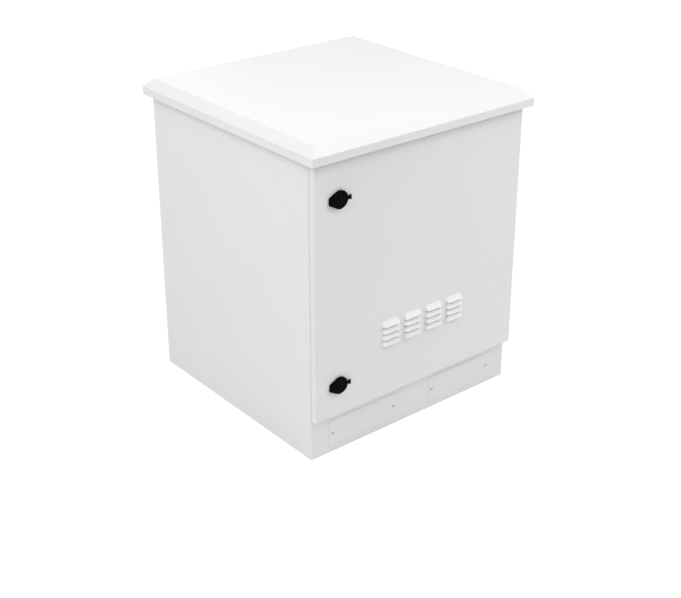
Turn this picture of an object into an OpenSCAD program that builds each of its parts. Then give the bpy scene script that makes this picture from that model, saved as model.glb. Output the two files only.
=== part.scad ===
// Free-standing outdoor distribution box: a painted sheet cabinet on a plinth, with a bevelled rain
// roof, one louvred overlay door on concealed hinges and two capped quarter-turn cam locks.
// The origin is on the ground under the middle of the roof, +Z up, and the door faces -Y.

/* [Body] */
// Width over the side panels
body_w = 600; // [580:1:680]
// Depth from the front face to the back face
body_d = 582; // [480:1:700]
// Height of the body sheets, whose top edge is hidden by the roof lip
body_h = 712; // [690:1:900]
// Thickness of the body, door and roof sheet
sheet = 2; // [1.5:0.1:2.5]
// Outer radius of the folds in the side panels and the door
bend_r = 3; // [2.6:0.1:4]
// Height of the plinth, up to the underside of the floor
plinth_h = 97; // [90:1:120]
// Width of the corner posts' sides
post_w = 12; // [8:1:16]
// Width of the side panels' fold round the back
back_fold = 25; // [15:1:60]

/* [Base] */
// Width and height of the anchor rails along the sides
base_rail_w = 50; // [42:1:60]
// Thickness of the anchor rails
base_rail_t = 4; // [3:0.5:6]
// Distance of an anchor hole from the body's side
anchor_in = 32; // [28:1:36]
// Distance of an anchor hole from the body's front and back
anchor_end = 70; // [50:1:120]
// Radius of the anchor holes
anchor_r = 7; // [5:0.5:8]
// Depth of the floor's folds along the sides
floor_fold = 25; // [15:1:35]
// Distance from the body's front and back to the ends of those folds
floor_fold_end = 50; // [30:1:90]

/* [Roof] */
// Overhang past the side panels
roof_side = 16.5; // [14:0.5:30]
// Overhang in front of the body
roof_front = 34.5; // [31:0.5:60]
// Overhang behind the body
roof_back = 14; // [12:0.5:30]
// How far the lip hangs below the top of the body
lip_cover = 10.5; // [6:0.5:14]
// Height of the upright lip
lip_h = 18.5; // [16:0.5:30]
// Width and height of the 45 degree bevel above the lip
roof_bevel = 20; // [14:0.5:30]
// Width of the hem folded in under the lip
hem_w = 8; // [5:0.5:9]
// Distance of the roof rails from the sides of the body
roof_rail_in = 76; // [60:1:100]
// Width of a roof rail
roof_rail_w = 34; // [30:1:44]
// Length of a vent slot in the top panel
slot_len = 60; // [30:1:80]
// Width of a vent slot in the top panel
slot_w = 7; // [4:0.5:12]
// Gap between the roof rails and the vent slots
slot_margin = 30; // [15:1:40]
// Distance of the roof rails' ends from the front and back of the body
roof_rail_end = 45; // [30:1:90]

/* [Door] */
// How far the door's face stands in front of the body
door_proud = 18; // [17:0.5:22]
// Gap between the plinth and the bottom of the door
door_low_gap = 4.5; // [3:0.5:8]
// Drop of the door's top below the top of the body
door_top_drop = 17.5; // [15:0.5:25]
// Gap between the door's folded edge and the body
door_gap = 2.2; // [1.5:0.1:3]
// Distance of the sealing rim from the sides of the body
rim_in = 21; // [20:0.5:24]
// Height of the rim's lower edge above the plinth
rim_low = 26; // [20:1:30]
// Drop of the rim's upper edge below the top of the body
rim_drop = 39; // [34:1:50]
// Outer radius of the rim's corners
rim_r = 12; // [8:0.5:20]
// Thickness of the door gasket
gasket_t = 7; // [6:0.5:8]
// Width of the door gasket
gasket_w = 11; // [9:0.5:12]
// Clearance between the rim and the gasket
rim_clear = 0.3; // [0.2:0.1:1]
// Height of the stiffener's middle above the bottom of the door
stiffener_rise = 310; // [280:1:380]
// Width of the stiffener's box
stiffener_w = 36; // [24:1:60]
// Depth of the stiffener
stiffener_d = 11; // [8:0.5:13]
// Width of the stiffener's welding flanges
stiffener_flange = 12; // [8:0.5:16]
// Distance of the stiffener's ends from the sides of the body
stiffener_end = 100; // [90:1:160]

/* [Louvres] */
// Columns of louvres
louvre_cols = 4; // [1:1:5]
// Louvres in a column
louvre_rows = 4; // [1:1:6]
// Width of a louvre
louvre_w = 50; // [40:0.5:58]
// Height of a louvre from its lip to its root
louvre_h = 14; // [11:0.5:14.5]
// How far a louvre stands out of the door
louvre_proud = 8; // [5:0.5:9]
// Radius of a louvre's round shoulders
louvre_round = 7; // [4:0.5:8]
// Thickness of a louvre's stretched sheet
louvre_t = 1.5; // [1:0.1:2]
// Distance between columns
louvre_pitch_x = 64.5; // [60:0.5:80]
// Distance between rows
louvre_pitch_z = 15.5; // [15:0.5:20]
// Offset of the group from the middle of the door
louvre_shift = 8; // [-30:1:30]
// Height of the lowest lip above the bottom of the door
louvre_rise = 128; // [110:1:150]
// Width of the filter tray around the group
tray_border = 15; // [10:1:20]
// Depth of the filter tray
tray_d = 13; // [9:0.5:14]
// Thickness of the tray's sheet
tray_t = 1.5; // [1:0.1:2]
// Width of the lip that holds the filter mat
tray_lip = 12; // [8:0.5:16]

/* [Hinges] */
// Distance of the hinge axis from the side of the door
hinge_in = 7.5; // [7.5:0.1:8]
// Distance of the hinge axis in front of the body
hinge_out = 9.5; // [9.5:0.1:10]
// Radius of the knuckles
knuckle_r = 5; // [4:0.1:5]
// Radius of the hinge pins
hinge_pin_r = 3; // [2:0.1:3.2]
// Length of both knuckles together
hinge_len = 40; // [30:1:60]
// Thickness of the leaf that is fixed to the frame
leaf_t = 2.5; // [2:0.1:2.6]
// Width of the leaf that is fixed to the frame
leaf_w = 9.5; // [7:0.1:10]
// Gap at the door's folded edge on the hinge side
hinge_gap = 4.5; // [4.5:0.1:6]
// Distance of the hinges from the bottom and the top of the door
hinge_end = 95; // [70:1:130]
// Clearance between a door knuckle and its pin
pin_clear = 0.05; // [0.02:0.01:0.1]

/* [Locks] */
// Distance of the locks from the free side of the door
lock_in = 64.5; // [64:0.5:70]
// Drop of the upper lock below the top of the door
lock_drop = 82.5; // [70:0.5:120]
// Height of the lower lock above the bottom of the door
lock_rise = 76; // [72:0.5:100]
// Radius of the dust cap
cap_r = 20; // [17:0.5:21]
// How far the dust cap stands out of the door
cap_proud = 6; // [5.8:0.1:8]
// Reach of the hinged tail from the lock's middle
tail_reach = 27.5; // [27:0.5:31]
// Height of the tail at its end
tail_h = 16; // [14:0.5:20]
// Reach of the finger tab from the lock's middle
tab_reach = 28.3; // [26:0.1:32]
// Height of the finger tab at its end
tab_h = 11; // [8:0.5:13]
// Thickness of the lock's flange on the door
flange_t = 2.5; // [2:0.1:3]
// Radius of the lock's threaded neck
neck_r = 11; // [10.5:0.1:12]
// Radius of the turning barrel
barrel_r = 8; // [7:0.1:8.5]
// Length of the cam from the lock's middle
cam_len = 48; // [46:0.5:50]
// Width of the cam
cam_w = 16; // [14:0.5:20]
// Thickness of the cam
cam_t = 3; // [2:0.5:4]
// Gap between the cam and the back of the frame
cam_gap = 1; // [0.5:0.1:2]

/* [Plinth covers] */
// Width of a cover plate
cover_w = 200; // [160:1:220]
// Height of a cover plate
cover_h = 66; // [50:1:72]
// Thickness of a cover plate
cover_t = 1; // [0.8:0.1:2.5]
// Distance of a cover plate from the side of the body
cover_edge = 50; // [30:1:60]
// Height of a cover plate's lower edge above the ground
cover_low = 15; // [8:1:18]
// Radius of a cover plate's corners
cover_r = 10; // [4:0.5:16]
// Distance of a cover screw from the plate's end
cover_screw_in = 10; // [8:0.5:12]
// Width of the plinth's edge behind a cover plate
cover_lap_x = 20; // [18:0.5:26]
// Height of the plinth's edge behind a cover plate
cover_lap_z = 10; // [6:0.5:14]

/* [Rack] */
// Rack units that the rails are punched for
rack_units = 12; // [6:1:12]
// Height of one rack unit
rack_unit = 44.45; // [40:0.05:44.45]
// Distance of the rails from the sides of the body
rail_gap = 55; // [50:0.5:70]
// Distance of the square holes from the rail's outer side
rail_hole_in = 12.45; // [12:0.05:13]
// Width of a rail's face
rail_face = 19.5; // [19:0.5:24]
// Gap between the floor and the foot of a rail
rail_foot = 12; // [8:1:20]
// Gap between the top panel and the head of a rail
rail_head = 41.6; // [30:0.1:60]
// Length of a rail below its first unit
rail_margin = 12; // [8:1:20]
// Depth of a rail's side
rail_side = 40; // [34:1:60]
// Distance of the rails from the front and back of the body
rail_end = 70; // [60:1:110]
// Side of the square holes
rail_hole = 9.5; // [8:0.1:9.9]
// Height of the brackets that carry the rails
bracket_h = 40; // [34:1:60]
// Distance of the brackets from the ends of the rails
bracket_in = 50; // [20:1:90]
// Length of a bracket past the rails
bracket_over = 20; // [10:1:40]

/* [Cable entry] */
// Width of the entry plate
entry_w = 340; // [280:1:380]
// Depth of the entry plate
entry_d = 140; // [110:1:160]
// Distance of the entry plate from the back of the body
entry_back = 90; // [85:1:120]
// Lap of the entry plate on the floor
entry_lap = 20; // [16:1:24]
// Cable grommets in the entry plate
grommet_count = 5; // [1:1:5]
// Distance between the grommets
grommet_pitch = 54; // [48:1:58]
// Radius of the grommets' holes
grommet_r = 16; // [10:0.5:18]
// Thickness of a grommet's rubber
grommet_t = 2; // [1.5:0.1:2.5]
// Distance of the earth stud from the side of the body
earth_side = 28; // [22:1:32]
// Distance of the earth stud from the front of the body
earth_front = 150; // [130:1:200]
// Length of the earth stud
earth_len = 25; // [22:1:40]

/* [Fasteners] */
// Radius of the M5 screws' shanks
m5_r = 2.4; // [2:0.1:2.5]
// Radius of the M5 screws' heads
m5_head_r = 4.2; // [3.5:0.1:5]
// Radius of the M6 bolts' shanks
m6_r = 3; // [2.5:0.1:3.2]
// Radius across the corners of the M6 heads and nuts
m6_hex_r = 5.8; // [5:0.1:6.5]
// Height of the M6 heads and nuts
m6_hex_h = 4.5; // [3:0.1:6]
// Clearance between a shank and its hole
hole_clear = 0.2; // [0.1:0.05:0.4]

/* [Hidden] */
$fn = 64;

// Body
roof_d = roof_front + body_d + roof_back;
roof_w = body_w + 2 * roof_side;
left_x = -body_w / 2;
right_x = body_w / 2;
front_y = roof_front - roof_d / 2;
back_y = front_y + body_d;
inner_x = body_w / 2 - sheet;
fold_in = bend_r - sheet;
inner_front_y = front_y + sheet + fold_in;
inner_back_y = back_y - 2 * sheet;
floor_z = plinth_h + sheet;

// Roof
lip_z = body_h - lip_cover;
bevel_z = lip_z + lip_h;
roof_z = bevel_z + roof_bevel;
bolt_y = body_d / 2 - 2 * roof_rail_end;
bolt_x = body_w / 2 - roof_rail_in - roof_rail_w / 2;
slot_count = 8;
slot_span = 2 * (body_w / 2 - roof_rail_in - roof_rail_w - slot_margin);
slot_pitch = slot_span / slot_count;

// Door
door_y = front_y - door_proud;
door_in_y = door_y + sheet;
door_z0 = plinth_h + door_low_gap;
door_z1 = body_h - door_top_drop;
rim_x = body_w / 2 - rim_in;
rim_z0 = plinth_h + rim_low;
rim_z1 = body_h - rim_drop;
rim_y = door_in_y + gasket_t + rim_clear;
gasket_out = (gasket_w - sheet) / 2;
stiffener_z = door_z0 + stiffener_rise;

// Louvres: flat slopes with round shoulders, which stand out of the door by louvre_proud at the lip
louvre_tilt = atan2(louvre_proud, louvre_h);
louvre_slope = norm([louvre_proud, louvre_h]);
louvre_z = door_z0 + louvre_rise;
tray_x = (louvre_cols - 1) * louvre_pitch_x / 2 + louvre_w / 2 + tray_border;
tray_z0 = louvre_z - tray_border;
tray_z1 = louvre_z + (louvre_rows - 1) * louvre_pitch_z + louvre_h + tray_border;

// Hinges
hinge_x = right_x - hinge_in;
hinge_y = front_y - hinge_out;
hinge_play = 0.3;
hinge_zs = [door_z1 - hinge_end, door_z0 + hinge_end];
notch_clear = 4;
notch_h = hinge_len + 2 * notch_clear;

// Locks, in a frame of their own: y is 0 on the door's face and grows inwards
lock_x = left_x + lock_in;
lock_zs = [door_z1 - lock_drop, door_z0 + lock_rise];
cam_y = door_proud + sheet + cam_gap;
neck_len = cam_y - 0.5;
drive = barrel_r;
cam_screw_len = 8;
thread_len = cam_screw_len + 2;
cap_pin_r = 1.25;
cap_knuckle_r = 2.5;
cap_play = 0.3;
tail_web = 0.9;
cap_pin_x = -tail_reach + cap_knuckle_r;
cap_pin_y = -cap_knuckle_r - tail_web - cap_play;
cap_back_y = -flange_t - cap_play;
cap_recess = (cap_proud + cap_back_y) / 2;
cap_wall = 3.5;
tail_front_y = cap_pin_y - cap_knuckle_r;
ear_x = cap_pin_x + cap_knuckle_r;
arm_x = ear_x + 0.5;
knuckle_h = 4.2;
tail_half = tail_h / 2;
tail_turn = acos(cap_r / norm([tail_reach, tail_half])) + atan2(tail_half, tail_reach);
tail_x = -cap_r * cos(tail_turn);
tail_z = cap_r * sin(tail_turn);

// Plinth covers
cover_screw_z = cover_low + cover_h / 2;
cover_screw_len = sheet + cover_t + 4;

// Rack
rack_holes = [rack_unit / 7, rack_unit / 2, rack_unit * 6 / 7];
rail_x = body_w / 2 - rail_gap;
rail_z0 = floor_z + rail_foot;
rail_len = body_h - sheet - rail_head - rail_z0;
rail_y = front_y + rail_end;
bracket_zs = [rail_z0 + rail_len - bracket_in - bracket_h, rail_z0 + bracket_in];
bracket_y = body_d / 2 - rail_end + bracket_over;
bracket_mid_y = (front_y + back_y) / 2;
rail_bolt_in = rail_side / 2;
rail_bolt_rise = bracket_h * 0.6;
bolt_tail = 2;

// Cable entry
entry_y1 = back_y - entry_back;
entry_y0 = entry_y1 - entry_d;
entry_y = (entry_y0 + entry_y1) / 2;
entry_screw_xs = [-entry_w / 2 + entry_lap / 2, 0, entry_w / 2 - entry_lap / 2];
entry_screw_ys = [entry_y0 + entry_lap / 2, entry_y1 - entry_lap / 2];
earth_r = 4;
earth_washer_r = 8;
earth_washer_t = 1.6;
earth_nut_h = 6.5;

white = [0.93, 0.93, 0.92];
zinc = [0.72, 0.74, 0.76];
black = [0.06, 0.06, 0.06];

// Rectangle between two corners
module rect(x0, y0, x1, y1) {
  translate([x0, y0]) square([x1 - x0, y1 - y0]);
}

// Rectangle between two corners, with round corners
module round_rect(x0, y0, x1, y1, r) {
  rect(x0 + r, y0, x1 - r, y1);
  rect(x0, y0 + r, x1, y1 - r);
  for (x = [x0 + r, x1 - r], y = [y0 + r, y1 - r]) translate([x, y]) circle(r);
}

// Slot with round ends, along the drawing's second axis
module slot(length, width) {
  rect(-width / 2, -(length - width) / 2, width / 2, (length - width) / 2);
  for (s = [-1, 1]) translate([0, s * (length - width) / 2]) circle(width / 2);
}

// Box between two corners
module box(a, b) {
  translate(a) cube(b - a);
}

// Drawing in x and z, run along y from y0 to y1
module run_y(y0, y1) {
  translate([0, y1, 0]) rotate([90, 0, 0]) linear_extrude(y1 - y0) children();
}

// Drawing in y and z, run along x from x0 to x1
module run_x(x0, x1) {
  translate([x0, 0, 0]) rotate([90, 0, 90]) linear_extrude(x1 - x0) children();
}

// Drawing in x and y, run along z from z0 to z1
module run_z(z0, z1) {
  translate([0, 0, z0]) linear_extrude(z1 - z0) children();
}

// Child that stands along z, laid along +y
module along_y() {
  rotate([-90, 0, 0]) children();
}

// Child that stands along z, laid along +x
module along_x() {
  rotate([0, 90, 0]) children();
}

// Round bar from z0 to z1
module bar(r, z0, z1) {
  translate([0, 0, z0]) cylinder(r = r, h = z1 - z0);
}

// Six-sided bar from z0 to z1
module hex(r, z0, z1) {
  translate([0, 0, z0]) cylinder(r = r, h = z1 - z0, $fn = 6);
}

// Plan of the body, set in from the outside
module body_plan(inset) {
  round_rect(left_x + inset, front_y + inset, right_x - inset, back_y - inset, bend_r - inset);
}

// Plan of the body's folded skin
module skin_plan() {
  difference() {
    body_plan(0);
    body_plan(sheet);
  }
}

// Side panel with its fold round the back corner, on the left
module side_panel() {
  run_z(0, body_h) intersection() {
    skin_plan();
    rect(left_x, front_y + post_w, left_x + back_fold, back_y);
  }
}

// Folded post in the front corner, on the left
module corner_post() {
  run_z(0, body_h) intersection() {
    skin_plan();
    rect(left_x, front_y, left_x + post_w, front_y + post_w);
  }
}

module left_side() {
  color(white) side_panel();
}

module right_side() {
  color(white) mirror([1, 0, 0]) side_panel();
}

module corner_post_left() {
  color(white) corner_post();
}

module corner_post_right() {
  color(white) mirror([1, 0, 0]) corner_post();
}

// Back sheet, lapped inside the folds of the side panels
module back_panel() {
  half = inner_x - fold_in;
  color(white) box([-half, inner_back_y, 0], [half, back_y - sheet, body_h]);
}

// Outline of the sealing rim, set in from its outside
module rim_outline(inset) {
  round_rect(-rim_x + inset, rim_z0 + inset, rim_x - inset, rim_z1 - inset, rim_r - inset);
}

// Front sheet with the door opening, whose edge is folded forwards into the sealing rim
module front_frame() {
  color(white) difference() {
    union() {
      run_y(front_y, front_y + sheet) rect(left_x + post_w, plinth_h, right_x - post_w, body_h);
      run_y(rim_y, front_y + sheet) rim_outline(0);
    }
    run_y(rim_y - 1, front_y + sheet + 1) rim_outline(sheet);
  }
}

// Places of the cover screws on the front of the plinth
module at_cover_screws() {
  for (s = [-1, 1], d = [cover_screw_in, cover_w - cover_screw_in])
    translate([s * (right_x - cover_edge - d), cover_screw_z]) children();
}

// Front sheet of the plinth, open behind the two cover plates
module plinth_front() {
  x0 = left_x + cover_edge + cover_lap_x;
  x1 = left_x + cover_edge + cover_w - cover_lap_x;
  color(white) run_y(front_y, front_y + sheet) difference() {
    rect(left_x + post_w, 0, right_x - post_w, plinth_h);
    for (s = [0, 1]) mirror([s, 0])
      round_rect(x0, cover_low + cover_lap_z, x1, cover_low + cover_h - cover_lap_z, cover_r / 2);
    at_cover_screws() circle(m5_r + hole_clear);
  }
}

// Cover plate on the left half of the plinth
module cover_plate() {
  x0 = left_x + cover_edge;
  run_y(front_y - cover_t, front_y) difference() {
    round_rect(x0, cover_low, x0 + cover_w, cover_low + cover_h, cover_r);
    at_cover_screws() circle(m5_r + hole_clear);
  }
}

module plinth_cover_left() {
  color(white) cover_plate();
}

module plinth_cover_right() {
  color(white) mirror([1, 0, 0]) cover_plate();
}

// Pan-head screw along z, its head's seat at 0 and its shank running down
module pan_screw(length) {
  head_h = m5_head_r * 0.5;
  dome_r = (m5_head_r * m5_head_r + head_h * head_h) / (2 * head_h);
  difference() {
    union() {
      bar(m5_r, -length, head_h / 2);
      intersection() {
        bar(m5_head_r, 0, head_h);
        translate([0, 0, head_h - dome_r]) sphere(dome_r);
      }
    }
    for (a = [0, 90]) rotate(a) box([-m5_r, -m5_r / 5, head_h / 2], [m5_r, m5_r / 5, head_h + 1]);
  }
}

module plinth_cover_screws() {
  color(zinc) translate([0, front_y - cover_t, 0]) rotate([90, 0, 0]) at_cover_screws()
    pan_screw(cover_screw_len);
}

// Places of the screws that hold the entry plate
module at_entry_screws() {
  for (x = entry_screw_xs, y = entry_screw_ys) translate([x, y]) children();
}

// Floor with its folds along the sides and the cable cut-out
module floor_pan() {
  color(white) difference() {
    union() {
      box([-inner_x, inner_front_y, plinth_h], [inner_x, inner_back_y, floor_z]);
      for (s = [0, 1]) mirror([s, 0, 0])
        box([-inner_x, front_y + floor_fold_end, plinth_h - floor_fold],
          [-inner_x + sheet, back_y - floor_fold_end, floor_z]);
    }
    run_z(plinth_h - 1, floor_z + 1) {
      rect(-entry_w / 2 + entry_lap, entry_y0 + entry_lap, entry_w / 2 - entry_lap, entry_y1 - entry_lap);
      at_entry_screws() circle(m5_r + hole_clear);
    }
  }
}

// Places of the roof bolts on the top panel
module at_roof_bolts() {
  for (sx = [-1, 1], sy = [-1, 1]) translate([sx * bolt_x, bracket_mid_y + sy * bolt_y]) children();
}

// Top sheet with two rows of vent slots, whose air leaves under the roof lip
module top_panel() {
  color(white) run_z(body_h - sheet, body_h) difference() {
    rect(-inner_x, inner_front_y, inner_x, inner_back_y);
    at_roof_bolts() circle(m6_r + hole_clear);
    for (i = [0 : slot_count - 1], sy = [-1, 1])
      translate([(i - (slot_count - 1) / 2) * slot_pitch, bracket_mid_y + sy * bolt_y / 2])
        slot(slot_len, slot_w);
  }
}

// Anchor rail along the left side, with its two anchor holes
module base_rail() {
  difference() {
    run_y(inner_front_y, inner_back_y) difference() {
      rect(-inner_x, 0, -inner_x + base_rail_w, base_rail_w);
      rect(-inner_x + base_rail_t, base_rail_t, -inner_x + base_rail_w + 1, base_rail_w + 1);
    }
    for (y = [front_y + anchor_end, back_y - anchor_end])
      translate([left_x + anchor_in, y, 0]) bar(anchor_r, -1, base_rail_t + 1);
  }
}

module base_rail_left() {
  color(zinc) base_rail();
}

module base_rail_right() {
  color(zinc) mirror([1, 0, 0]) base_rail();
}

// Section of the roof across one direction: upright lips, 45 degree bevels, a flat top and round bends
module roof_section(half, inset, low) {
  corner = inset * tan(22.5);
  r = bend_r - inset;
  tangent = r * tan(22.5);
  slope = tangent * cos(45);
  side = half - inset;
  flat = half - roof_bevel - corner;
  top = roof_z - inset;
  fold = bevel_z - corner;
  for (s = [0, 1]) mirror([s, 0]) {
    polygon([[-1, low], [side, low], [side, fold - tangent], [side - slope, fold + slope],
      [flat + slope, top - slope], [flat - tangent, top], [-1, top]]);
    translate([side - r, fold - tangent]) circle(r);
    translate([flat - tangent, top - r]) circle(r);
  }
}

// Roof body with its bevels mitred at the corners
module roof_body(inset, low) {
  intersection() {
    run_y(-roof_d / 2, roof_d / 2) roof_section(roof_w / 2, inset, low);
    run_x(-roof_w / 2, roof_w / 2) roof_section(roof_d / 2, inset, low);
  }
}

// Folded rain roof with a hem under its lip
module roof() {
  color(white) difference() {
    roof_body(0, lip_z);
    roof_body(sheet, lip_z + sheet);
    box([-roof_w / 2 + hem_w, -roof_d / 2 + hem_w, lip_z - 1],
      [roof_w / 2 - hem_w, roof_d / 2 - hem_w, bevel_z]);
  }
}

// Channel on the left that carries the roof on the top panel
module roof_rail() {
  x0 = left_x + roof_rail_in;
  difference() {
    run_y(front_y + roof_rail_end, back_y - roof_rail_end) difference() {
      rect(x0, body_h, x0 + roof_rail_w, roof_z - sheet);
      rect(x0 + sheet, body_h + sheet, x0 + roof_rail_w + 1, roof_z - 2 * sheet);
    }
    run_z(body_h - 1, body_h + sheet + 1) at_roof_bolts() circle(m6_r + hole_clear);
  }
}

module roof_rail_left() {
  color(zinc) roof_rail();
}

module roof_rail_right() {
  color(zinc) mirror([1, 0, 0]) roof_rail();
}

module roof_bolts() {
  color(zinc) translate([0, 0, body_h - sheet]) at_roof_bolts() {
    hex(m6_hex_r, -m6_hex_h, 0);
    bar(m6_r, -m6_hex_h / 2, 2 * sheet + m6_hex_h + bolt_tail);
  }
}

module roof_nuts() {
  color(zinc) translate([0, 0, body_h + sheet]) at_roof_bolts() difference() {
    hex(m6_hex_r, 0, m6_hex_h);
    bar(m6_r + pin_clear, -1, m6_hex_h + 1);
  }
}

// Section of a pan or a hood: a box with its two front corners folded round
module pan_section(u0, u1, v0, v1, r) {
  rect(u0 + r, v0, u1 - r, v1);
  rect(u0, v0 + r, u1, v1);
  for (u = [u0 + r, u1 - r]) translate([u, v0 + r]) circle(r);
}

// Door pan filled solid, set in from the outside
module pan_body(inset, back) {
  intersection() {
    run_z(door_z0 + inset, door_z1 - inset)
      pan_section(left_x + inset, right_x - inset, door_y + inset, back, bend_r - inset);
    run_x(left_x, right_x) mirror([1, -1])
      pan_section(door_z0 + inset, door_z1 - inset, door_y + inset, back, bend_r - inset);
  }
}

// Bar with round shoulders that slopes out of the door, set in from the outside
module louvre_form(inset) {
  half = louvre_w / 2 - inset;
  translate([0, 0, louvre_h]) rotate([-louvre_tilt, 0, 0]) run_z(-2 * louvre_slope, louvre_slope)
    pan_section(-half, half, inset, louvre_h, louvre_round - inset);
}

// Part of a louvre's bar that lies between its lip and its root and in front of y
module louvre_hood(inset, y) {
  intersection() {
    louvre_form(inset);
    box([-louvre_w, -louvre_proud - 1, 0], [louvre_w, y, louvre_h]);
  }
}

// Places of the louvre lips on the door's face
module at_louvres() {
  first_x = louvre_shift - (louvre_cols - 1) * louvre_pitch_x / 2;
  for (c = [0 : louvre_cols - 1], r = [0 : louvre_rows - 1])
    translate([first_x + c * louvre_pitch_x, door_y, louvre_z + r * louvre_pitch_z]) children();
}

// Folded door pan with pressed louvres, notched at the hinges and drilled for the locks
module door() {
  back = front_y - door_gap;
  color(white) difference() {
    union() {
      difference() {
        pan_body(0, back);
        pan_body(sheet, back + 1);
      }
      at_louvres() louvre_hood(0, sheet / 2);
    }
    at_louvres() louvre_hood(louvre_t, sheet + 1);
    box([right_x - bend_r - sheet, front_y - hinge_gap, door_z0 - 1], [right_x + 1, front_y, door_z1 + 1]);
    for (z = hinge_zs) box([right_x - 1.5 * sheet, hinge_y - knuckle_r / 2, z - notch_h / 2],
      [right_x + 1, front_y, z + notch_h / 2]);
    for (z = lock_zs) translate([lock_x, door_y, z]) along_y() bar(neck_r + hole_clear, -1, sheet + 1);
  }
}

// Hat-section stiffener across the middle of the door
module door_stiffener() {
  half = stiffener_w / 2;
  y1 = door_in_y + stiffener_d;
  foot = half + stiffener_flange;
  wall = half - tray_t;
  color(white) run_x(left_x + stiffener_end, right_x - stiffener_end)
  translate([0, stiffener_z]) difference() {
    union() {
      rect(door_in_y, -foot, door_in_y + tray_t, foot);
      rect(door_in_y, -half, y1, half);
    }
    rect(door_in_y - 1, -wall, y1 - tray_t, wall);
  }
}

// Foamed seal on the door, facing the rim
module door_gasket() {
  color([0.12, 0.12, 0.13]) run_y(door_in_y, door_in_y + gasket_t) difference() {
    rim_outline(-gasket_out);
    rim_outline(gasket_w - gasket_out);
  }
}

// Tray behind the louvres, open at the top for the filter mat
module filter_tray() {
  y1 = door_in_y + tray_d;
  color(zinc) translate([louvre_shift, 0, 0]) difference() {
    box([-tray_x, door_in_y, tray_z0], [tray_x, y1, tray_z1]);
    box([-tray_x + tray_t, door_in_y - 1, tray_z0 + tray_t], [tray_x - tray_t, y1 - tray_t, tray_z1 + 1]);
    box([-tray_x + tray_lip, door_in_y, tray_z0 + tray_lip], [tray_x - tray_lip, y1 + 1, tray_z1 + 1]);
  }
}

// Coarse filter mat that slides into the tray
module filter_mat() {
  play = 0.3;
  half = tray_x - tray_t - play;
  y1 = door_in_y + tray_d - tray_t - play;
  color([0.86, 0.87, 0.88]) translate([louvre_shift, 0, 0])
    box([-half, door_in_y + play, tray_z0 + tray_t], [half, y1, tray_z1]);
}

// Leaf on the frame, with the lower knuckle
module frame_leaf(z) {
  z0 = z - hinge_len / 2;
  half_bend = knuckle_r - leaf_t;
  color(white) translate([hinge_x, hinge_y, 0]) difference() {
    union() {
      box([-knuckle_r + leaf_t - leaf_w, hinge_out - leaf_t, z0], [-half_bend, hinge_out, z + hinge_len / 2]);
      box([-knuckle_r, 0, z0], [-half_bend, hinge_out, z - hinge_play / 2]);
      bar(knuckle_r, z0, z - hinge_play / 2);
    }
    bar(hinge_pin_r, z0 - 1, z + 1);
  }
}

// Leaf in the corner of the door, with the upper knuckle that lifts off the pin
module door_leaf(z) {
  z0 = z + hinge_play / 2;
  z1 = z + hinge_len / 2;
  corner_x = hinge_in - sheet - fold_in;
  color(white) translate([hinge_x, hinge_y, 0]) difference() {
    union() {
      box([-knuckle_r - leaf_t, door_in_y - hinge_y, z0], [corner_x, -knuckle_r + 1, z1]);
      bar(knuckle_r, z0, z1);
    }
    bar(hinge_pin_r + pin_clear, z, z1 + 1);
  }
}

// Hinge pin, fast in the frame's knuckle and with a rounded top
module hinge_pin(z) {
  z1 = z + hinge_len / 2 - hinge_pin_r;
  color(zinc) translate([hinge_x, hinge_y, 0]) {
    bar(hinge_pin_r, z - hinge_len / 2, z1);
    translate([0, 0, z1]) cylinder(r1 = hinge_pin_r, r2 = hinge_pin_r / 2, h = hinge_pin_r * 0.8);
  }
}

// Lock pieces are drawn about the lock's middle
module at_lock(z) {
  translate([lock_x, door_y, z]) children();
}

// Front outline of the lock: a disc that runs into a tapered tail
module lock_outline(shrink) {
  circle(cap_r - shrink);
  intersection() {
    polygon([[tail_x, tail_z], [-tail_reach, tail_half], [-tail_reach, -tail_half], [tail_x, -tail_z]]);
    rect(-tail_reach, -tail_z + shrink, 0, tail_z - shrink);
  }
}

// Both ears' section across the pin: round over the pin and square down to the door
module ear_section() {
  translate([cap_pin_x, cap_pin_y]) circle(cap_knuckle_r);
  rect(cap_pin_x - cap_knuckle_r, cap_pin_y, cap_pin_x + cap_knuckle_r, 0);
}

// Housing: a flange with two ears for the cap's pin, and a threaded neck through the door
module lock_housing(z) {
  ear_z = knuckle_h + cap_play;
  color(black) at_lock(z) difference() {
    union() {
      run_y(-flange_t, 0) lock_outline(0.5);
      intersection() {
        run_y(tail_front_y, 0) lock_outline(0);
        run_z(-cap_r, cap_r) ear_section();
      }
      along_y() bar(neck_r, -flange_t / 2, neck_len);
    }
    box([-tail_reach - 1, tail_front_y - 1, -ear_z], [arm_x, -tail_web, ear_z]);
    along_y() bar(barrel_r, -flange_t - 1, neck_len + 1);
    along_y() bar(barrel_r + 1.5, -flange_t - 1, 0);
    translate([cap_pin_x, cap_pin_y, 0]) bar(cap_pin_r, -cap_r, cap_r);
  }
}

module lock_nut(z) {
  nut_t = 5;
  color(zinc) at_lock(z) along_y() difference() {
    hex(neck_r + 5, sheet, sheet + nut_t);
    bar(neck_r + pin_clear, 0, sheet + nut_t + 1);
  }
}

// Barrel with a square key recess, a shoulder in the flange and a square drive for the cam
module lock_barrel(z) {
  key = barrel_r * 0.9;
  face_y = -flange_t + 0.7;
  color(zinc) at_lock(z) along_y() difference() {
    union() {
      bar(barrel_r + 1.5 - pin_clear, face_y, -pin_clear);
      bar(barrel_r - pin_clear, -pin_clear, cam_y);
      run_z(cam_y - 1, cam_y + cam_t) square(drive, center = true);
    }
    run_z(face_y - 1, face_y + barrel_r) square(key, center = true);
    bar(m6_r + pin_clear, cam_y - thread_len, cam_y + cam_t + 1);
  }
}

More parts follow.
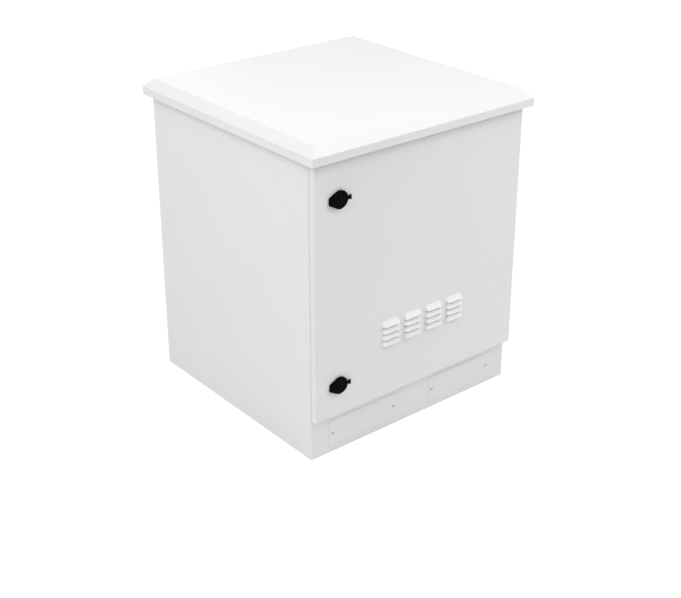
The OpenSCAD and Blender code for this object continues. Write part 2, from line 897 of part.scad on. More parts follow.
// Cam that turns behind the frame; it points down when the door is free
module lock_cam(z) {
  tip = cam_len - cam_w / 2;
  color(zinc) at_lock(z) run_y(cam_y, cam_y + cam_t) difference() {
    union() {
      circle(neck_r);
      rect(-cam_w / 2, -tip, cam_w / 2, 0);
      translate([0, -tip]) circle(cam_w / 2);
    }
    square(drive + 2 * pin_clear, center = true);
  }
}

module lock_cam_screw(z) {
  seat = cam_y + cam_t;
  color(zinc) at_lock(z) along_y() {
    hex(m6_hex_r + 1, seat, seat + m6_hex_h);
    bar(m6_r, cam_y - cam_screw_len, seat + m6_hex_h / 2);
  }
}

// Section of the cap's disc from its middle line outwards, with a rounded front edge
module cap_section() {
  front = cap_proud + cap_back_y;
  edge = 1.5;
  rect(0, 0, cap_r, front - edge);
  rect(0, 0, cap_r - edge, front);
  translate([cap_r - edge, front - edge]) circle(edge);
}

// Hinged dust cap: a hollow disc with a tail on the pin and a finger tab
module lock_cap(z) {
  root_x = cap_r - 3;
  neck_x = cap_r + 3;
  neck = tab_h * 0.36;
  tab_t = 3;
  color(black) at_lock(z) difference() {
    union() {
      translate([0, cap_back_y, 0]) rotate([90, 0, 0]) rotate_extrude() cap_section();
      run_y(tail_front_y, cap_back_y) intersection() {
        lock_outline(0);
        union() {
          rect(arm_x, -cap_r, 0, cap_r);
          rect(cap_pin_x, -knuckle_h, 0, knuckle_h);
        }
      }
      translate([cap_pin_x, cap_pin_y, 0]) bar(cap_knuckle_r, -knuckle_h, knuckle_h);
      run_y(cap_back_y - tab_t, cap_back_y) polygon([[root_x, neck], [neck_x, neck], [tab_reach, tab_h / 2],
        [tab_reach, -tab_h / 2], [neck_x, -neck], [root_x, -neck]]);
    }
    along_y() bar(cap_r - cap_wall, cap_back_y - cap_recess, 0);
    translate([cap_pin_x, cap_pin_y, 0]) bar(cap_pin_r + pin_clear, -cap_r, cap_r);
  }
}

module lock_cap_pin(z) {
  half = tail_half + 0.9;
  color(zinc) at_lock(z) translate([cap_pin_x, cap_pin_y, 0]) bar(cap_pin_r, -half, half);
}

// Channel on the left side panel that carries a front and a back rail
module bracket(z) {
  difference() {
    run_y(bracket_mid_y - bracket_y, bracket_mid_y + bracket_y) difference() {
      rect(-inner_x, z, -rail_x, z + bracket_h);
      rect(-inner_x + sheet, z + sheet, -rail_x - sheet, z + bracket_h + 1);
    }
    at_rail_bolts(z) bar(m6_r + hole_clear, -2 * sheet, 2 * sheet);
  }
}

// Places of the bolts through one bracket and its rails on the left, with z along +x
module at_rail_bolts(z) {
  reach = body_d / 2 - rail_end - rail_bolt_in;
  for (s = [-1, 1]) translate([-rail_x, bracket_mid_y + s * reach, z + rail_bolt_rise]) along_x() children();
}

module bracket_left(z) {
  color(zinc) bracket(z);
}

module bracket_right(z) {
  color(zinc) mirror([1, 0, 0]) bracket(z);
}

// Rack rail with square holes, in front on the left
module rack_rail() {
  difference() {
    run_z(rail_z0, rail_z0 + rail_len) {
      rect(-rail_x, rail_y, -rail_x + rail_face, rail_y + sheet);
      rect(-rail_x, rail_y, -rail_x + sheet, rail_y + rail_side);
    }
    for (u = [0 : rack_units - 1], h = rack_holes)
      translate([-rail_x + rail_hole_in, rail_y + sheet / 2, rail_z0 + rail_margin + u * rack_unit + h])
        cube([rail_hole, 2 * sheet, rail_hole], center = true);
    for (z = bracket_zs) at_rail_bolts(z) bar(m6_r + hole_clear, -1, sheet + 1);
  }
}

// Child in front, turned about the middle of the body's depth to face the back
module to_back() {
  translate([0, 2 * bracket_mid_y, 0]) mirror([0, 1, 0]) children();
}

module rail_front_left() {
  color(zinc) rack_rail();
}

module rail_front_right() {
  color(zinc) mirror([1, 0, 0]) rack_rail();
}

module rail_back_left() {
  color(zinc) to_back() rack_rail();
}

module rail_back_right() {
  color(zinc) to_back() mirror([1, 0, 0]) rack_rail();
}

module rail_bolts() {
  color(zinc) for (s = [0, 1], z = bracket_zs) mirror([s, 0, 0]) at_rail_bolts(z) {
    hex(m6_hex_r, sheet, sheet + m6_hex_h);
    bar(m6_r, -sheet - m6_hex_h - bolt_tail, sheet + m6_hex_h / 2);
  }
}

module rail_nuts() {
  color(zinc) for (s = [0, 1], z = bracket_zs) mirror([s, 0, 0]) at_rail_bolts(z) difference() {
    hex(m6_hex_r, -sheet - m6_hex_h, -sheet);
    bar(m6_r + pin_clear, -sheet - m6_hex_h - 1, 0);
  }
}

// Places of the cable grommets
module at_grommets() {
  for (i = [0 : grommet_count - 1])
    translate([(i - (grommet_count - 1) / 2) * grommet_pitch, entry_y]) children();
}

module cable_entry_plate() {
  color(zinc) run_z(floor_z, floor_z + sheet) difference() {
    rect(-entry_w / 2, entry_y0, entry_w / 2, entry_y1);
    at_grommets() circle(grommet_r);
    at_entry_screws() circle(m5_r + hole_clear);
  }
}

module entry_screws() {
  color(zinc) translate([0, 0, floor_z + sheet]) at_entry_screws() pan_screw(2 * sheet + 4);
}

// Closed membrane grommets, grooved over the edge of the plate
module entry_grommets() {
  lip = grommet_r + 3;
  color(black) translate([0, 0, floor_z]) at_grommets() rotate_extrude() difference() {
    rect(0, -grommet_t, lip, sheet + grommet_t);
    rect(grommet_r, 0, lip + 1, sheet);
    rect(-1, 0, grommet_r - grommet_t, sheet + grommet_t + 1);
  }
}

module at_earth() {
  translate([left_x + earth_side, front_y + earth_front, floor_z]) children();
}

// Welded earth stud with a collar at its foot
module earth_stud() {
  color(zinc) at_earth() {
    bar(earth_r, 0, earth_len);
    bar(earth_r + 2, 0, 2);
  }
}

// Two washers and a nut on the earth stud
module earth_nut() {
  seat = 2;
  color(zinc) at_earth() difference() {
    union() {
      bar(earth_washer_r, seat, seat + 2 * earth_washer_t);
      hex(earth_washer_r - 0.5, seat + 2 * earth_washer_t, seat + 2 * earth_washer_t + earth_nut_h);
    }
    bar(earth_r + pin_clear, 0, earth_len);
  }
}

left_side();
right_side();
corner_post_left();
corner_post_right();
back_panel();
front_frame();
plinth_front();
floor_pan();
top_panel();
base_rail_left();
base_rail_right();
roof();
roof_rail_left();
roof_rail_right();
roof_bolts();
roof_nuts();
door();
door_stiffener();
door_gasket();
filter_tray();
filter_mat();
frame_leaf(hinge_zs[0]);  // hinge_upper_frame_leaf
hinge_pin(hinge_zs[0]);  // hinge_upper_pin
door_leaf(hinge_zs[0]);  // hinge_upper_door_leaf
frame_leaf(hinge_zs[1]);  // hinge_lower_frame_leaf
hinge_pin(hinge_zs[1]);  // hinge_lower_pin
door_leaf(hinge_zs[1]);  // hinge_lower_door_leaf
lock_housing(lock_zs[0]);  // lock_upper_housing
lock_nut(lock_zs[0]);  // lock_upper_nut
lock_barrel(lock_zs[0]);  // lock_upper_barrel
lock_cam(lock_zs[0]);  // lock_upper_cam
lock_cam_screw(lock_zs[0]);  // lock_upper_cam_screw
lock_cap(lock_zs[0]);  // lock_upper_cap
lock_cap_pin(lock_zs[0]);  // lock_upper_cap_pin
lock_housing(lock_zs[1]);  // lock_lower_housing
lock_nut(lock_zs[1]);  // lock_lower_nut
lock_barrel(lock_zs[1]);  // lock_lower_barrel
lock_cam(lock_zs[1]);  // lock_lower_cam
lock_cam_screw(lock_zs[1]);  // lock_lower_cam_screw
lock_cap(lock_zs[1]);  // lock_lower_cap
lock_cap_pin(lock_zs[1]);  // lock_lower_cap_pin
plinth_cover_left();
plinth_cover_right();
plinth_cover_screws();
bracket_left(bracket_zs[0]);  // bracket_left_upper
bracket_left(bracket_zs[1]);  // bracket_left_lower
bracket_right(bracket_zs[0]);  // bracket_right_upper
bracket_right(bracket_zs[1]);  // bracket_right_lower
rail_front_left();
rail_front_right();
rail_back_left();
rail_back_right();
rail_bolts();
rail_nuts();
cable_entry_plate();
entry_screws();
entry_grommets();
earth_stud();
earth_nut();
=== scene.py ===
import bpy
from math import radians
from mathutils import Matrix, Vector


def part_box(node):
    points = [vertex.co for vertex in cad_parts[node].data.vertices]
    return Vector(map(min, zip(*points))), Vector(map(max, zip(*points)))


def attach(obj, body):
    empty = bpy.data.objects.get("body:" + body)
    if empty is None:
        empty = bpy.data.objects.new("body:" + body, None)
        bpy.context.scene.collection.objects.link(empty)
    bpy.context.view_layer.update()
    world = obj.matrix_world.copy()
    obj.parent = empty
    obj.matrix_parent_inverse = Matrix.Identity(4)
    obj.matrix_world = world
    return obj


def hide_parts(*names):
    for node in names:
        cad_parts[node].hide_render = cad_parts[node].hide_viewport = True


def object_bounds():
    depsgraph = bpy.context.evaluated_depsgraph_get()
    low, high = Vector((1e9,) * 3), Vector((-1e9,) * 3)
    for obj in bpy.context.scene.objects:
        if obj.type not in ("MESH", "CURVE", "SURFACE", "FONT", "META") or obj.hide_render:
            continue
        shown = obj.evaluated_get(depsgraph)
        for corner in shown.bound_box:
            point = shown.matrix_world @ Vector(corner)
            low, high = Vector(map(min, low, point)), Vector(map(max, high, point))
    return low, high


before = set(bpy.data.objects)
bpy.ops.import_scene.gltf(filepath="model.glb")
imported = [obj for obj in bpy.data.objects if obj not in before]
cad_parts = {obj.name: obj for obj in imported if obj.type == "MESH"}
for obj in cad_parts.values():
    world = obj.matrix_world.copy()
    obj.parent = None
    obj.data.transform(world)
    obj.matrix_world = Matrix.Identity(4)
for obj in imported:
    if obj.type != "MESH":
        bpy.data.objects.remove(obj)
cadLow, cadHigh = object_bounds()

scene = bpy.context.scene
scene.view_settings.view_transform = "Standard"


# camera at the photo's angle
viewPoint = {
    "place": (-1.75526, -2.15029, 1.58232),
    "turn": (65.62695, -0.12855, -39.6491),
    "sensor": 36,
    "lens": 67.1818,
    "shift": (-0.007868, -0.07107),
}
bpy.ops.object.select_all(action="DESELECT")
bpy.ops.object.camera_add(location=viewPoint["place"], rotation=[radians(a) for a in viewPoint["turn"]])
camera = bpy.context.object
camera.name = "photoCamera"
camera.data.sensor_width = viewPoint["sensor"]
camera.data.lens = viewPoint["lens"]
camera.data.shift_x, camera.data.shift_y = viewPoint["shift"]
scene.camera = camera
print("camera placed")


# node helpers
def setOrLink(tree, socket, value):  # another node's output is linked, anything else is set
    if isinstance(value, bpy.types.NodeSocket):
        tree.links.new(value, socket)
    else:
        socket.default_value = value


def addNode(tree, kind, **inputs):
    node = tree.nodes.new(kind)
    for name, value in inputs.items():
        setOrLink(tree, node.inputs[name.replace("_", " ")], value)
    return node


def mathNode(tree, operation, first, second=0):
    node = tree.nodes.new("ShaderNodeMath")
    node.operation = operation
    for socket, value in zip(node.inputs, (first, second)):
        setOrLink(tree, socket, value)
    return node.outputs[0]


def mixColours(tree, share, first, second):
    mix = tree.nodes.new("ShaderNodeMix")
    mix.data_type = "RGBA"
    for place, value in ((0, share), (6, first), (7, second)):  # the colour sockets are 6 and 7
        setOrLink(tree, mix.inputs[place], value)
    return mix.outputs[2]  # and 2 among the outputs


def grey(level):
    return (level, level, level, 1)


def seenDirectly(tree):  # rays that should meet the white studio: camera, glossy and transmission
    path = tree.nodes.new("ShaderNodeLightPath")
    both = mathNode(tree, "MAXIMUM", path.outputs["Is Camera Ray"], path.outputs["Is Glossy Ray"])
    return mathNode(tree, "MAXIMUM", both, path.outputs["Is Transmission Ray"])


def whiteWhenSeen(tree, plain, white, outKind):  # plain for the light on the object, white to look at
    mix = tree.nodes.new("ShaderNodeMixShader")
    for socket, source in zip(mix.inputs, (seenDirectly(tree), plain.outputs[0], white.outputs[0])):
        tree.links.new(source, socket)
    addNode(tree, outKind, Surface=mix.outputs[0])


# pale floor that looks white and keeps the shadow
floorLook = {"size": 30, "drop": 0.0005, "bounce": 0.88, "glow": 0.95, "shadowShare": 0.12}


def makeFloor():
    bpy.ops.object.select_all(action="DESELECT")
    bpy.ops.mesh.primitive_plane_add(size=floorLook["size"], location=(0, 0, -floorLook["drop"]))
    bpy.ops.object.transform_apply(location=True, rotation=True, scale=True)
    floor = bpy.context.object
    floor.name = "studioFloor"
    paint = bpy.data.materials.new("floorPaint")
    paint.use_nodes = True
    tree = paint.node_tree
    tree.nodes.clear()
    plain = addNode(tree, "ShaderNodeBsdfDiffuse", Color=grey(floorLook["bounce"]))
    faint = addNode(tree, "ShaderNodeBsdfDiffuse", Color=grey(floorLook["shadowShare"]))
    glow = addNode(tree, "ShaderNodeEmission", Strength=floorLook["glow"])
    white = tree.nodes.new("ShaderNodeAddShader")
    tree.links.new(faint.outputs[0], white.inputs[0])
    tree.links.new(glow.outputs[0], white.inputs[1])
    whiteWhenSeen(tree, plain, white, "ShaderNodeOutputMaterial")
    floor.data.materials.append(paint)


# soft studio light: neutral from above and behind, slightly cool on the left, warm on the door
plainTint = (1.0, 1.0, 1.0)
coolTint = (0.985, 1.0, 0.995)
studioLight = {
    "world": 0.46,
    "lamps": {
        "roofSoftbox": {"place": (0.1, -0.1, 3.3), "size": 2.6, "power": 14.5, "tint": plainTint},
        "leftSoftbox": {"place": (-2.5, -0.5, 2.7), "size": 1.6, "power": 31, "tint": coolTint},
        "leftTopSoftbox": {"place": (-1.5, -0.1, 3.0), "size": 1.2, "power": 9, "tint": coolTint},
        "leftLowSoftbox": {"place": (-3.0, -0.3, 1.5), "size": 2.2, "power": 6, "tint": coolTint},
        "frontSoftbox": {"place": (1.2, -1.8, 2.55), "size": 1.3, "power": 24.5, "tint": (1.0, 0.98, 0.94)},
        "rightSoftbox": {"place": (2.4, -2.4, 1.6), "size": 1.0, "power": 11, "tint": (1.0, 0.975, 0.935)},
        "backSoftbox": {"place": (0.6, 3.0, 1.5), "size": 2.0, "power": 10, "tint": plainTint},
    },
}


def makeLight():
    world = bpy.data.worlds.new("studioWorld")
    scene.world = world
    world.use_nodes = True
    tree = world.node_tree
    tree.nodes.clear()
    fill = addNode(tree, "ShaderNodeBackground", Color=grey(1), Strength=studioLight["world"])
    white = addNode(tree, "ShaderNodeBackground", Color=grey(1), Strength=1)
    whiteWhenSeen(tree, fill, white, "ShaderNodeOutputWorld")
    aim = (cadLow + cadHigh) / 2
    for name, lamp in studioLight["lamps"].items():
        bpy.ops.object.select_all(action="DESELECT")
        bpy.ops.object.light_add(type="AREA", location=lamp["place"])
        light = bpy.context.object
        light.name = name
        light.data.shape = "DISK"
        light.data.size = lamp["size"]
        light.data.energy = lamp["power"]
        light.data.color = lamp["tint"]
        light.rotation_euler = (aim - light.location).to_track_quat("-Z", "Y").to_euler()


makeFloor()
makeLight()
print("studio ready")


# shared effects; each material sets the inputs to its own values
def startGroup(name, inputs, outputs):
    group = bpy.data.node_groups.new(name, "ShaderNodeTree")
    for label in inputs:
        group.interface.new_socket(label, in_out="INPUT", socket_type="NodeSocketFloat")
    for label in outputs:
        group.interface.new_socket(label, in_out="OUTPUT", socket_type="NodeSocketFloat")
    return group, group.nodes.new("NodeGroupInput").outputs, group.nodes.new("NodeGroupOutput").inputs


def placeGroup(tree, group, values):
    node = tree.nodes.new("ShaderNodeGroup")
    node.node_tree = group
    for label, value in values.items():
        node.inputs[label].default_value = value
    return node.outputs


def objectPlace(tree):
    return tree.nodes.new("ShaderNodeTexCoord").outputs["Object"]


def objectAxes(tree):
    return addNode(tree, "ShaderNodeSeparateXYZ", Vector=objectPlace(tree)).outputs


def noiseOn(tree, scale, detail, stretch=(1, 1, 1)):
    turn = addNode(tree, "ShaderNodeMapping", Vector=objectPlace(tree), Scale=stretch)
    noise = addNode(tree, "ShaderNodeTexNoise", Vector=turn.outputs["Vector"], Scale=scale, Detail=detail)
    return noise.outputs["Fac"]


def buildFineGrain():  # small bumps over a slow drift: orange peel, moulded grain, foam skin
    group, given, made = startGroup("fineGrain", ("Grain Scale", "Drift Scale"), ("Height", "Tone"))
    group.links.new(noiseOn(group, given["Grain Scale"], 2), made["Height"])
    group.links.new(noiseOn(group, given["Drift Scale"], 3), made["Tone"])
    return group


spangleLook = {"cellShare": 0.45, "driftShare": 0.55, "rollScale": 260, "rollStretch": (1, 1, 0.06)}


def buildZincSpangle():  # plated crystals with fine rolling marks
    group, given, made = startGroup("zincSpangle", ("Grain Scale", "Drift Scale"), ("Height", "Tone"))
    cells = addNode(group, "ShaderNodeTexVoronoi", Vector=objectPlace(group), Scale=given["Grain Scale"])
    split = addNode(group, "ShaderNodeSeparateColor", Color=cells.outputs["Color"])
    crystal = mathNode(group, "MULTIPLY", split.outputs["Red"], spangleLook["cellShare"])
    drift = mathNode(group, "MULTIPLY", noiseOn(group, given["Drift Scale"], 4), spangleLook["driftShare"])
    rolled = noiseOn(group, spangleLook["rollScale"], 3, spangleLook["rollStretch"])
    group.links.new(mathNode(group, "ADD", crystal, drift), made["Tone"])
    group.links.new(rolled, made["Height"])
    return group


def buildWeldTrace():  # faint line where the floor is welded to the inside of a side panel
    group, given, made = startGroup("weldTrace", ("Height", "Half Width", "Front", "Back"), ("Mask",))
    axes = objectAxes(group)
    off = mathNode(group, "ABSOLUTE", mathNode(group, "SUBTRACT", axes["Z"], given["Height"]))
    near = mathNode(group, "SUBTRACT", 1, mathNode(group, "DIVIDE", off, given["Half Width"]))
    past = mathNode(group, "GREATER_THAN", axes["Y"], given["Front"])
    short = mathNode(group, "LESS_THAN", axes["Y"], given["Back"])
    along = mathNode(group, "MULTIPLY", past, short)
    mask = mathNode(group, "MULTIPLY", mathNode(group, "MAXIMUM", near, 0), along)
    group.links.new(mask, made["Mask"])
    return group


def buildLouvreLightMask():  # 0 on a flat face, 1 where the sheet is pressed out in front of it: where the painted light on the louvres goes
    group, given, made = startGroup("louvreLightMask", ("Face", "Depth"), ("Mask",))
    out = mathNode(group, "SUBTRACT", given["Face"], objectAxes(group)["Y"])
    share = mathNode(group, "DIVIDE", out, given["Depth"])
    mask = mathNode(group, "MINIMUM", mathNode(group, "MAXIMUM", share, 0), 1)
    group.links.new(mask, made["Mask"])
    return group


def buildSlitShade():  # painted shade that fades out below each louvre's lip, on the root of the louvre under it
    group, given, made = startGroup("slitShade", ("Face", "Top", "Pitch", "Reach"), ("Mask",))
    axes = objectAxes(group)
    under = mathNode(group, "SUBTRACT", given["Top"], axes["Z"])
    step = mathNode(group, "MODULO", under, given["Pitch"])
    fade = mathNode(group, "SUBTRACT", 1, mathNode(group, "DIVIDE", step, given["Reach"]))
    out = mathNode(group, "SUBTRACT", given["Face"], axes["Y"])
    below = mathNode(group, "GREATER_THAN", under, 0)
    onLouvre = mathNode(group, "MULTIPLY", below, mathNode(group, "GREATER_THAN", out, 0))
    mask = mathNode(group, "MULTIPLY", mathNode(group, "MAXIMUM", fade, 0), onLouvre)
    group.links.new(mask, made["Mask"])
    return group


fineGrain = buildFineGrain()
zincSpangle = buildZincSpangle()
weldTrace = buildWeldTrace()
louvreLightMask = buildLouvreLightMask()
slitShade = buildSlitShade()
print("effects ready")


# finishes: one for each slot of the record, then those that a few nodes have of their own
# louvre sizes that place the painted light and the painted shade on the door
louvreLook = {"out": 0.008, "skin": 0.0001, "lowLip": 0.128, "rows": 4, "pitch": 0.0155}
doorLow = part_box("door")[0]
doorFace = doorLow.y + louvreLook["out"] - louvreLook["skin"]  # a hair in front of the flat sheet
louvreTop = doorLow.z + louvreLook["lowLip"] + (louvreLook["rows"] - 1) * louvreLook["pitch"]
whiteCoat = {
    "effect": fineGrain, "grain": 1100, "drift": 5, "bump": (0.35, 0.00002),
    "dark": (0.775, 0.775, 0.773), "light": (0.8, 0.8, 0.798), "rough": (0.42, 0.52),
    "metal": 0, "specular": 0.35,
}
smallZinc = {
    "effect": zincSpangle, "grain": 300, "drift": 40, "bump": (0.25, 0.00003),
    "metal": 1, "specular": 0.5,
}
finishLooks = {
    "white_powder_coat": whiteCoat,
    "zinc_plated_steel": {
        "effect": zincSpangle, "grain": 95, "drift": 9, "bump": (0.25, 0.00003),
        "dark": (0.4, 0.405, 0.415), "light": (0.63, 0.635, 0.64), "rough": (0.26, 0.46),
        "metal": 1, "specular": 0.5,
    },
    "black_plastic": {
        "effect": fineGrain, "grain": 2200, "drift": 60, "bump": (0.5, 0.00004),
        "dark": (0.0012, 0.0012, 0.0012), "light": (0.0026, 0.0026, 0.0026), "rough": (0.5, 0.62),
        "metal": 0, "specular": 0.03,
    },
    "seal_foam": {
        "effect": fineGrain, "grain": 700, "drift": 40, "bump": (0.7, 0.0002),
        "dark": (0.02, 0.02, 0.021), "light": (0.035, 0.035, 0.037), "rough": (0.8, 0.95),
        "metal": 0, "specular": 0.2,
    },
    "black_rubber": {
        "effect": fineGrain, "grain": 1500, "drift": 50, "bump": (0.4, 0.00005),
        "dark": (0.014, 0.014, 0.014), "light": (0.024, 0.024, 0.024), "rough": (0.6, 0.75),
        "metal": 0, "specular": 0.35,
    },
    "filter_fibre": {
        "effect": fineGrain, "grain": 420, "drift": 30, "bump": (1.0, 0.0008),
        "dark": (0.55, 0.57, 0.58), "light": (0.8, 0.82, 0.83), "rough": (0.9, 1.0),
        "metal": 0, "specular": 0.1,
    },
    "dull_zinc": {
        **smallZinc, "dark": (0.42, 0.42, 0.425), "light": (0.6, 0.6, 0.61), "rough": (0.4, 0.55),
    },
    "blackened_zinc": {
        **smallZinc, "dark": (0.008, 0.008, 0.008), "light": (0.02, 0.02, 0.021), "rough": (0.45, 0.6),
    },
    "side_panel_white": {
        **whiteCoat,
        "marks": [
            {"mask": weldTrace, "tone": (0.815, 0.815, 0.813),
             "sizes": {"Height": 0.097, "Half Width": 0.0035, "Front": -0.233, "Back": 0.247}},
        ],
    },
    "door_white": {  # painted light: lighter on the louvres, as if lit from above, with painted shade in their slits
        **whiteCoat,
        "marks": [
            # painted highlight on the pressed-out louvres
            {"mask": louvreLightMask, "tone": (0.875, 0.875, 0.873),
             "sizes": {"Face": doorFace, "Depth": 0.0018}},
            # painted shadow of each lip on the louvre under it
            {"mask": slitShade, "tone": (0.35, 0.35, 0.345),
             "sizes": {"Face": doorFace, "Top": louvreTop, "Pitch": louvreLook["pitch"], "Reach": 0.0075}},
        ],
    },
}
ownFinish = {
    "left_side": "side_panel_white", "right_side": "side_panel_white", "door": "door_white",
    "plinth_cover_screws": "dull_zinc",
    "lock_upper_cap_pin": "blackened_zinc", "lock_lower_cap_pin": "blackened_zinc",
}


def makeFinish(name, look):
    finish = bpy.data.materials.new(name + "_finish")
    finish.use_nodes = True
    tree = finish.node_tree
    shader = tree.nodes["Principled BSDF"].inputs
    shader["Metallic"].default_value = look["metal"]
    shader["Specular IOR Level"].default_value = look["specular"]
    effect = placeGroup(tree, look["effect"], {"Grain Scale": look["grain"], "Drift Scale": look["drift"]})
    colour = mixColours(tree, effect["Tone"], (*look["dark"], 1), (*look["light"], 1))
    for mark in look.get("marks", []):
        mask = placeGroup(tree, mark["mask"], mark["sizes"])["Mask"]
        colour = mixColours(tree, mask, colour, (*mark["tone"], 1))
    smooth, matt = look["rough"]
    gloss = addNode(tree, "ShaderNodeMapRange", Value=effect["Tone"], To_Min=smooth, To_Max=matt)
    strength, depth = look["bump"]
    bump = addNode(tree, "ShaderNodeBump", Height=effect["Height"], Strength=strength, Distance=depth)
    tree.links.new(colour, shader["Base Color"])
    tree.links.new(gloss.outputs["Result"], shader["Roughness"])
    tree.links.new(bump.outputs["Normal"], shader["Normal"])
    return finish


finishes = {name: makeFinish(name, look) for name, look in finishLooks.items()}
for name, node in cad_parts.items():
    for slot in node.material_slots:
        slot.material = finishes[ownFinish.get(name, slot.material.name.split(".")[0])]
print("finishes:", ", ".join(finishes))


# modelling helpers
mergeGap = 0.00001


def startPiece():
    if bpy.context.object and bpy.context.object.mode != "OBJECT":
        bpy.ops.object.mode_set(mode="OBJECT")
    bpy.ops.object.select_all(action="DESELECT")


def takeUp(piece):  # select one object alone and make it the active one
    startPiece()
    piece.select_set(True)
    bpy.context.view_layer.objects.active = piece


def editNone(kind):
    bpy.ops.object.mode_set(mode="EDIT")
    bpy.ops.mesh.select_mode(type=kind)
    bpy.ops.mesh.select_all(action="DESELECT")


def pick(piece, kind, test):  # select faces or edges by a test
    editNone(kind)
    bpy.ops.object.mode_set(mode="OBJECT")
    for item in {"EDGE": piece.data.edges, "FACE": piece.data.polygons}[kind]:
        item.select = test(item)
    bpy.ops.object.mode_set(mode="EDIT")


def pickSharp(piece, degrees, test=lambda co: True):  # sharp edges whose two ends pass the test
    editNone("EDGE")
    bpy.ops.mesh.edges_select_sharp(sharpness=radians(degrees))
    bpy.ops.object.mode_set(mode="OBJECT")
    points = piece.data.vertices
    sharp = {edge.index for edge in piece.data.edges if edge.select}
    pick(piece, "EDGE", lambda edge: edge.index in sharp and all(test(points[i].co) for i in edge.vertices))


def facesOut():
    bpy.ops.mesh.select_all(action="SELECT")
    bpy.ops.mesh.remove_doubles(threshold=mergeGap)
    bpy.ops.mesh.normals_make_consistent(inside=False)


def closePiece(piece, name, finish, body, nodes, angle=35):  # edges up to the angle are shaded smooth
    takeUp(piece)
    bpy.ops.object.transform_apply(location=True, rotation=True, scale=True)
    bpy.ops.object.shade_smooth_by_angle(angle=radians(angle))
    piece.name = name
    piece.data.name = name
    piece.data.materials.clear()
    piece.data.materials.append(finishes[finish])
    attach(piece, body)
    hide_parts(*nodes)
    print("piece:", name, len(piece.data.polygons), "faces")


# foamed seal on the door: soft shoulders and the groove that the rim has pressed
sealLook = {
    "width": 0.011, "corner": 0.0165, "cornerSteps": 10,
    "shoulder": 0.0029, "shoulderSteps": 5, "sharpFrom": 60,
    "facing": 0.99, "grooveIn": 0.0012, "grooveDepth": 0.0006,
}


def makeDoorSeal():
    low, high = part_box("door_gasket")
    middle = (low + high) / 2
    startPiece()
    bpy.ops.mesh.primitive_plane_add(
        size=1, location=(middle.x, low.y, middle.z), rotation=(radians(90), 0, 0))
    seal = bpy.context.object
    seal.scale = (high.x - low.x, high.z - low.z, 1)
    bpy.ops.object.transform_apply(location=True, rotation=True, scale=True)
    bpy.ops.object.mode_set(mode="EDIT")
    bpy.ops.mesh.select_all(action="SELECT")
    bpy.ops.mesh.bevel(offset=sealLook["corner"], segments=sealLook["cornerSteps"], affect="VERTICES")
    bpy.ops.mesh.select_all(action="SELECT")
    bpy.ops.mesh.inset(thickness=sealLook["width"])
    bpy.ops.mesh.delete(type="FACE")  # the middle, so that a ring is left
    bpy.ops.mesh.select_all(action="SELECT")
    bpy.ops.mesh.extrude_region_move(TRANSFORM_OT_translate={"value": (0, high.y - low.y, 0)})
    facesOut()
    pickSharp(seal, sealLook["sharpFrom"], lambda co: co.y > middle.y)
    bpy.ops.mesh.bevel(offset=sealLook["shoulder"], segments=sealLook["shoulderSteps"], affect="EDGES")
    pick(seal, "FACE", lambda face: face.normal.y > sealLook["facing"])
    bpy.ops.mesh.inset(thickness=sealLook["grooveIn"])
    bpy.ops.transform.translate(value=(0, -sealLook["grooveDepth"], 0))
    closePiece(seal, "doorSeal", "seal_foam", "door", ["door_gasket"])


# fleece mat in the filter tray
matLook = {
    "margin": 0.0005, "columns": 68, "rows": 24, "edge": 0.0022, "edgeSteps": 2, "sharpFrom": 60,
    "puff": 0.0011, "seed": 7, "settle": 0.35, "finer": 1, "smoothTo": 80,
}


def makeFilterMat():
    low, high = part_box("filter_mat")
    middle = (low + high) / 2
    gap = matLook["margin"] + matLook["puff"]  # room for the fleece to puff up
    depth = high.y - low.y - 2 * gap
    startPiece()
    bpy.ops.mesh.primitive_grid_add(
        x_subdivisions=matLook["columns"], y_subdivisions=matLook["rows"], size=1,
        location=(middle.x, low.y + gap, middle.z), rotation=(radians(90), 0, 0))
    mat = bpy.context.object
    mat.scale = (high.x - low.x - 2 * gap, high.z - low.z - 2 * gap, 1)
    bpy.ops.object.transform_apply(location=True, rotation=True, scale=True)
    bpy.ops.object.mode_set(mode="EDIT")
    bpy.ops.mesh.select_all(action="SELECT")
    bpy.ops.mesh.extrude_region_move(TRANSFORM_OT_translate={"value": (0, depth, 0)})
    facesOut()
    pickSharp(mat, matLook["sharpFrom"])
    bpy.ops.mesh.bevel(offset=matLook["edge"], segments=matLook["edgeSteps"], affect="EDGES")
    bpy.ops.mesh.select_all(action="SELECT")
    bpy.ops.transform.vertex_random(offset=matLook["puff"], uniform=0.0, normal=1.0, seed=matLook["seed"])
    bpy.ops.mesh.vertices_smooth(factor=matLook["settle"], repeat=1)
    bpy.ops.object.mode_set(mode="OBJECT")
    bpy.ops.object.modifier_add(type="SUBSURF")
    finer = mat.modifiers[-1]
    finer.levels = finer.render_levels = matLook["finer"]
    bpy.ops.object.modifier_apply(modifier=finer.name)
    closePiece(mat, "filterMat", "filter_fibre", "door", ["filter_mat"], matLook["smoothTo"])


# cable grommets: a grooved ring with a stepped cone that is cut to the cable
grommetLook = {
    "count": 5, "pitch": 0.054, "sides": 48, "groove": 0.0031, "lip": 0.0045,
    "cone": ((-0.00096, 0.0025), (0.00132, 0.0025), (0.00096, 0.0022)),  # rise, then step in
    "hollow": 0.0014, "edge": 0.0007, "edgeSteps": 2, "sharpFrom": 50,
    "clear": 0.001, "facing": 0.9, "upright": 0.5,  # for picking faces
}


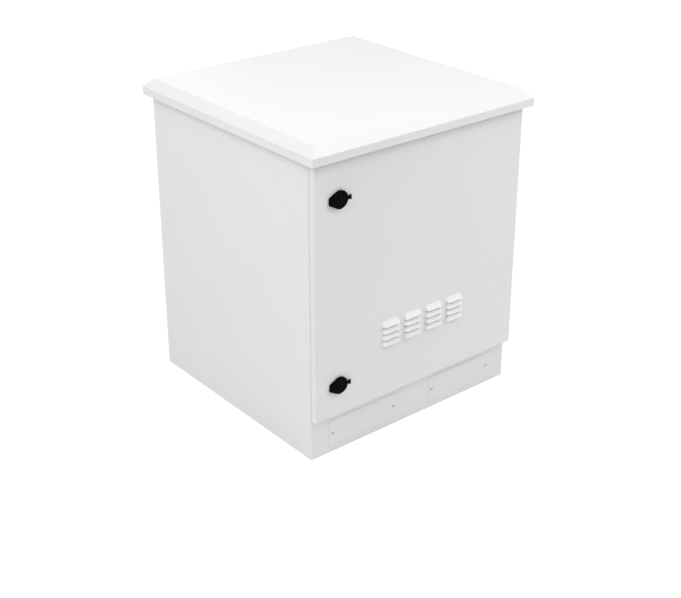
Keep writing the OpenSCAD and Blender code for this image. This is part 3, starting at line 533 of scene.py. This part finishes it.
def makeGrommets():
    low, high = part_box("entry_grommets")
    plateLow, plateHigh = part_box("cable_entry_plate")
    radius = (high.y - low.y) / 2
    middle = (low + high) / 2
    startPiece()
    bpy.ops.mesh.primitive_cylinder_add(
        vertices=grommetLook["sides"], radius=radius, depth=high.z - low.z, location=middle)
    grommet = bpy.context.object
    bpy.ops.object.transform_apply(location=True, rotation=True, scale=True)
    bpy.ops.object.mode_set(mode="EDIT")
    for height in (plateLow.z, plateHigh.z):
        bpy.ops.mesh.select_all(action="SELECT")
        bpy.ops.mesh.bisect(plane_co=(0, 0, height), plane_no=(0, 0, 1))
    pick(grommet, "FACE",
         lambda face: abs(face.normal.z) < grommetLook["upright"]
         and plateLow.z < face.center.z < plateHigh.z)
    bpy.ops.mesh.extrude_region_shrink_fatten(
        TRANSFORM_OT_shrink_fatten={"value": -grommetLook["groove"]})
    topFrom = plateHigh.z + grommetLook["clear"]
    pick(grommet, "FACE", lambda face: face.normal.z > grommetLook["facing"] and face.center.z > topFrom)
    bpy.ops.mesh.inset(thickness=grommetLook["lip"])
    for rise, inward in grommetLook["cone"]:
        bpy.ops.mesh.extrude_region_move(TRANSFORM_OT_translate={"value": (0, 0, rise)})
        bpy.ops.mesh.inset(thickness=inward)
    underFrom = plateLow.z - grommetLook["clear"]
    pick(grommet, "FACE", lambda face: face.normal.z < -grommetLook["facing"] and face.center.z < underFrom)
    bpy.ops.mesh.inset(thickness=grommetLook["lip"])
    bpy.ops.mesh.extrude_region_move(TRANSFORM_OT_translate={"value": (0, 0, grommetLook["hollow"])})
    facesOut()
    pickSharp(grommet, grommetLook["sharpFrom"])
    bpy.ops.mesh.bevel(offset=grommetLook["edge"], segments=grommetLook["edgeSteps"], affect="EDGES")
    copies = [grommet]
    for i in range(grommetLook["count"]):
        step = (i - (grommetLook["count"] - 1) / 2) * grommetLook["pitch"]
        if step == 0:  # the first one stays in the middle
            continue
        takeUp(grommet)
        bpy.ops.object.duplicate(linked=False)
        bpy.ops.transform.translate(value=(step, 0, 0))
        copies.append(bpy.context.object)
    takeUp(grommet)
    for piece in copies:
        piece.select_set(True)
    bpy.ops.object.join()
    closePiece(grommet, "entryGrommets", "black_rubber", "cabinet", ["entry_grommets"])


# moulded dust caps: the CAD shape with its edges rounded off
capLook = {"flatTo": 0.5, "edge": 0.0005, "steps": 2, "sharpFrom": 40, "smoothTo": 50}


def makeDustCap(which):
    node = "lock_" + which + "_cap"
    takeUp(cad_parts[node])
    bpy.ops.object.duplicate(linked=False)
    cap = bpy.context.object
    bpy.ops.object.mode_set(mode="EDIT")
    facesOut()
    bpy.ops.mesh.dissolve_limited(angle_limit=radians(capLook["flatTo"]))
    bpy.ops.object.mode_set(mode="OBJECT")
    bpy.ops.object.modifier_add(type="BEVEL")
    bevel = cap.modifiers[-1]
    bevel.width = capLook["edge"]
    bevel.segments = capLook["steps"]
    bevel.limit_method = "ANGLE"
    bevel.angle_limit = radians(capLook["sharpFrom"])
    bpy.ops.object.modifier_apply(modifier=bevel.name)
    closePiece(cap, which + "DustCap", "black_plastic", "cap_" + which, [node], capLook["smoothTo"])


makeDoorSeal()
makeFilterMat()
makeGrommets()
for which in ("upper", "lower"):
    makeDustCap(which)


print("done")
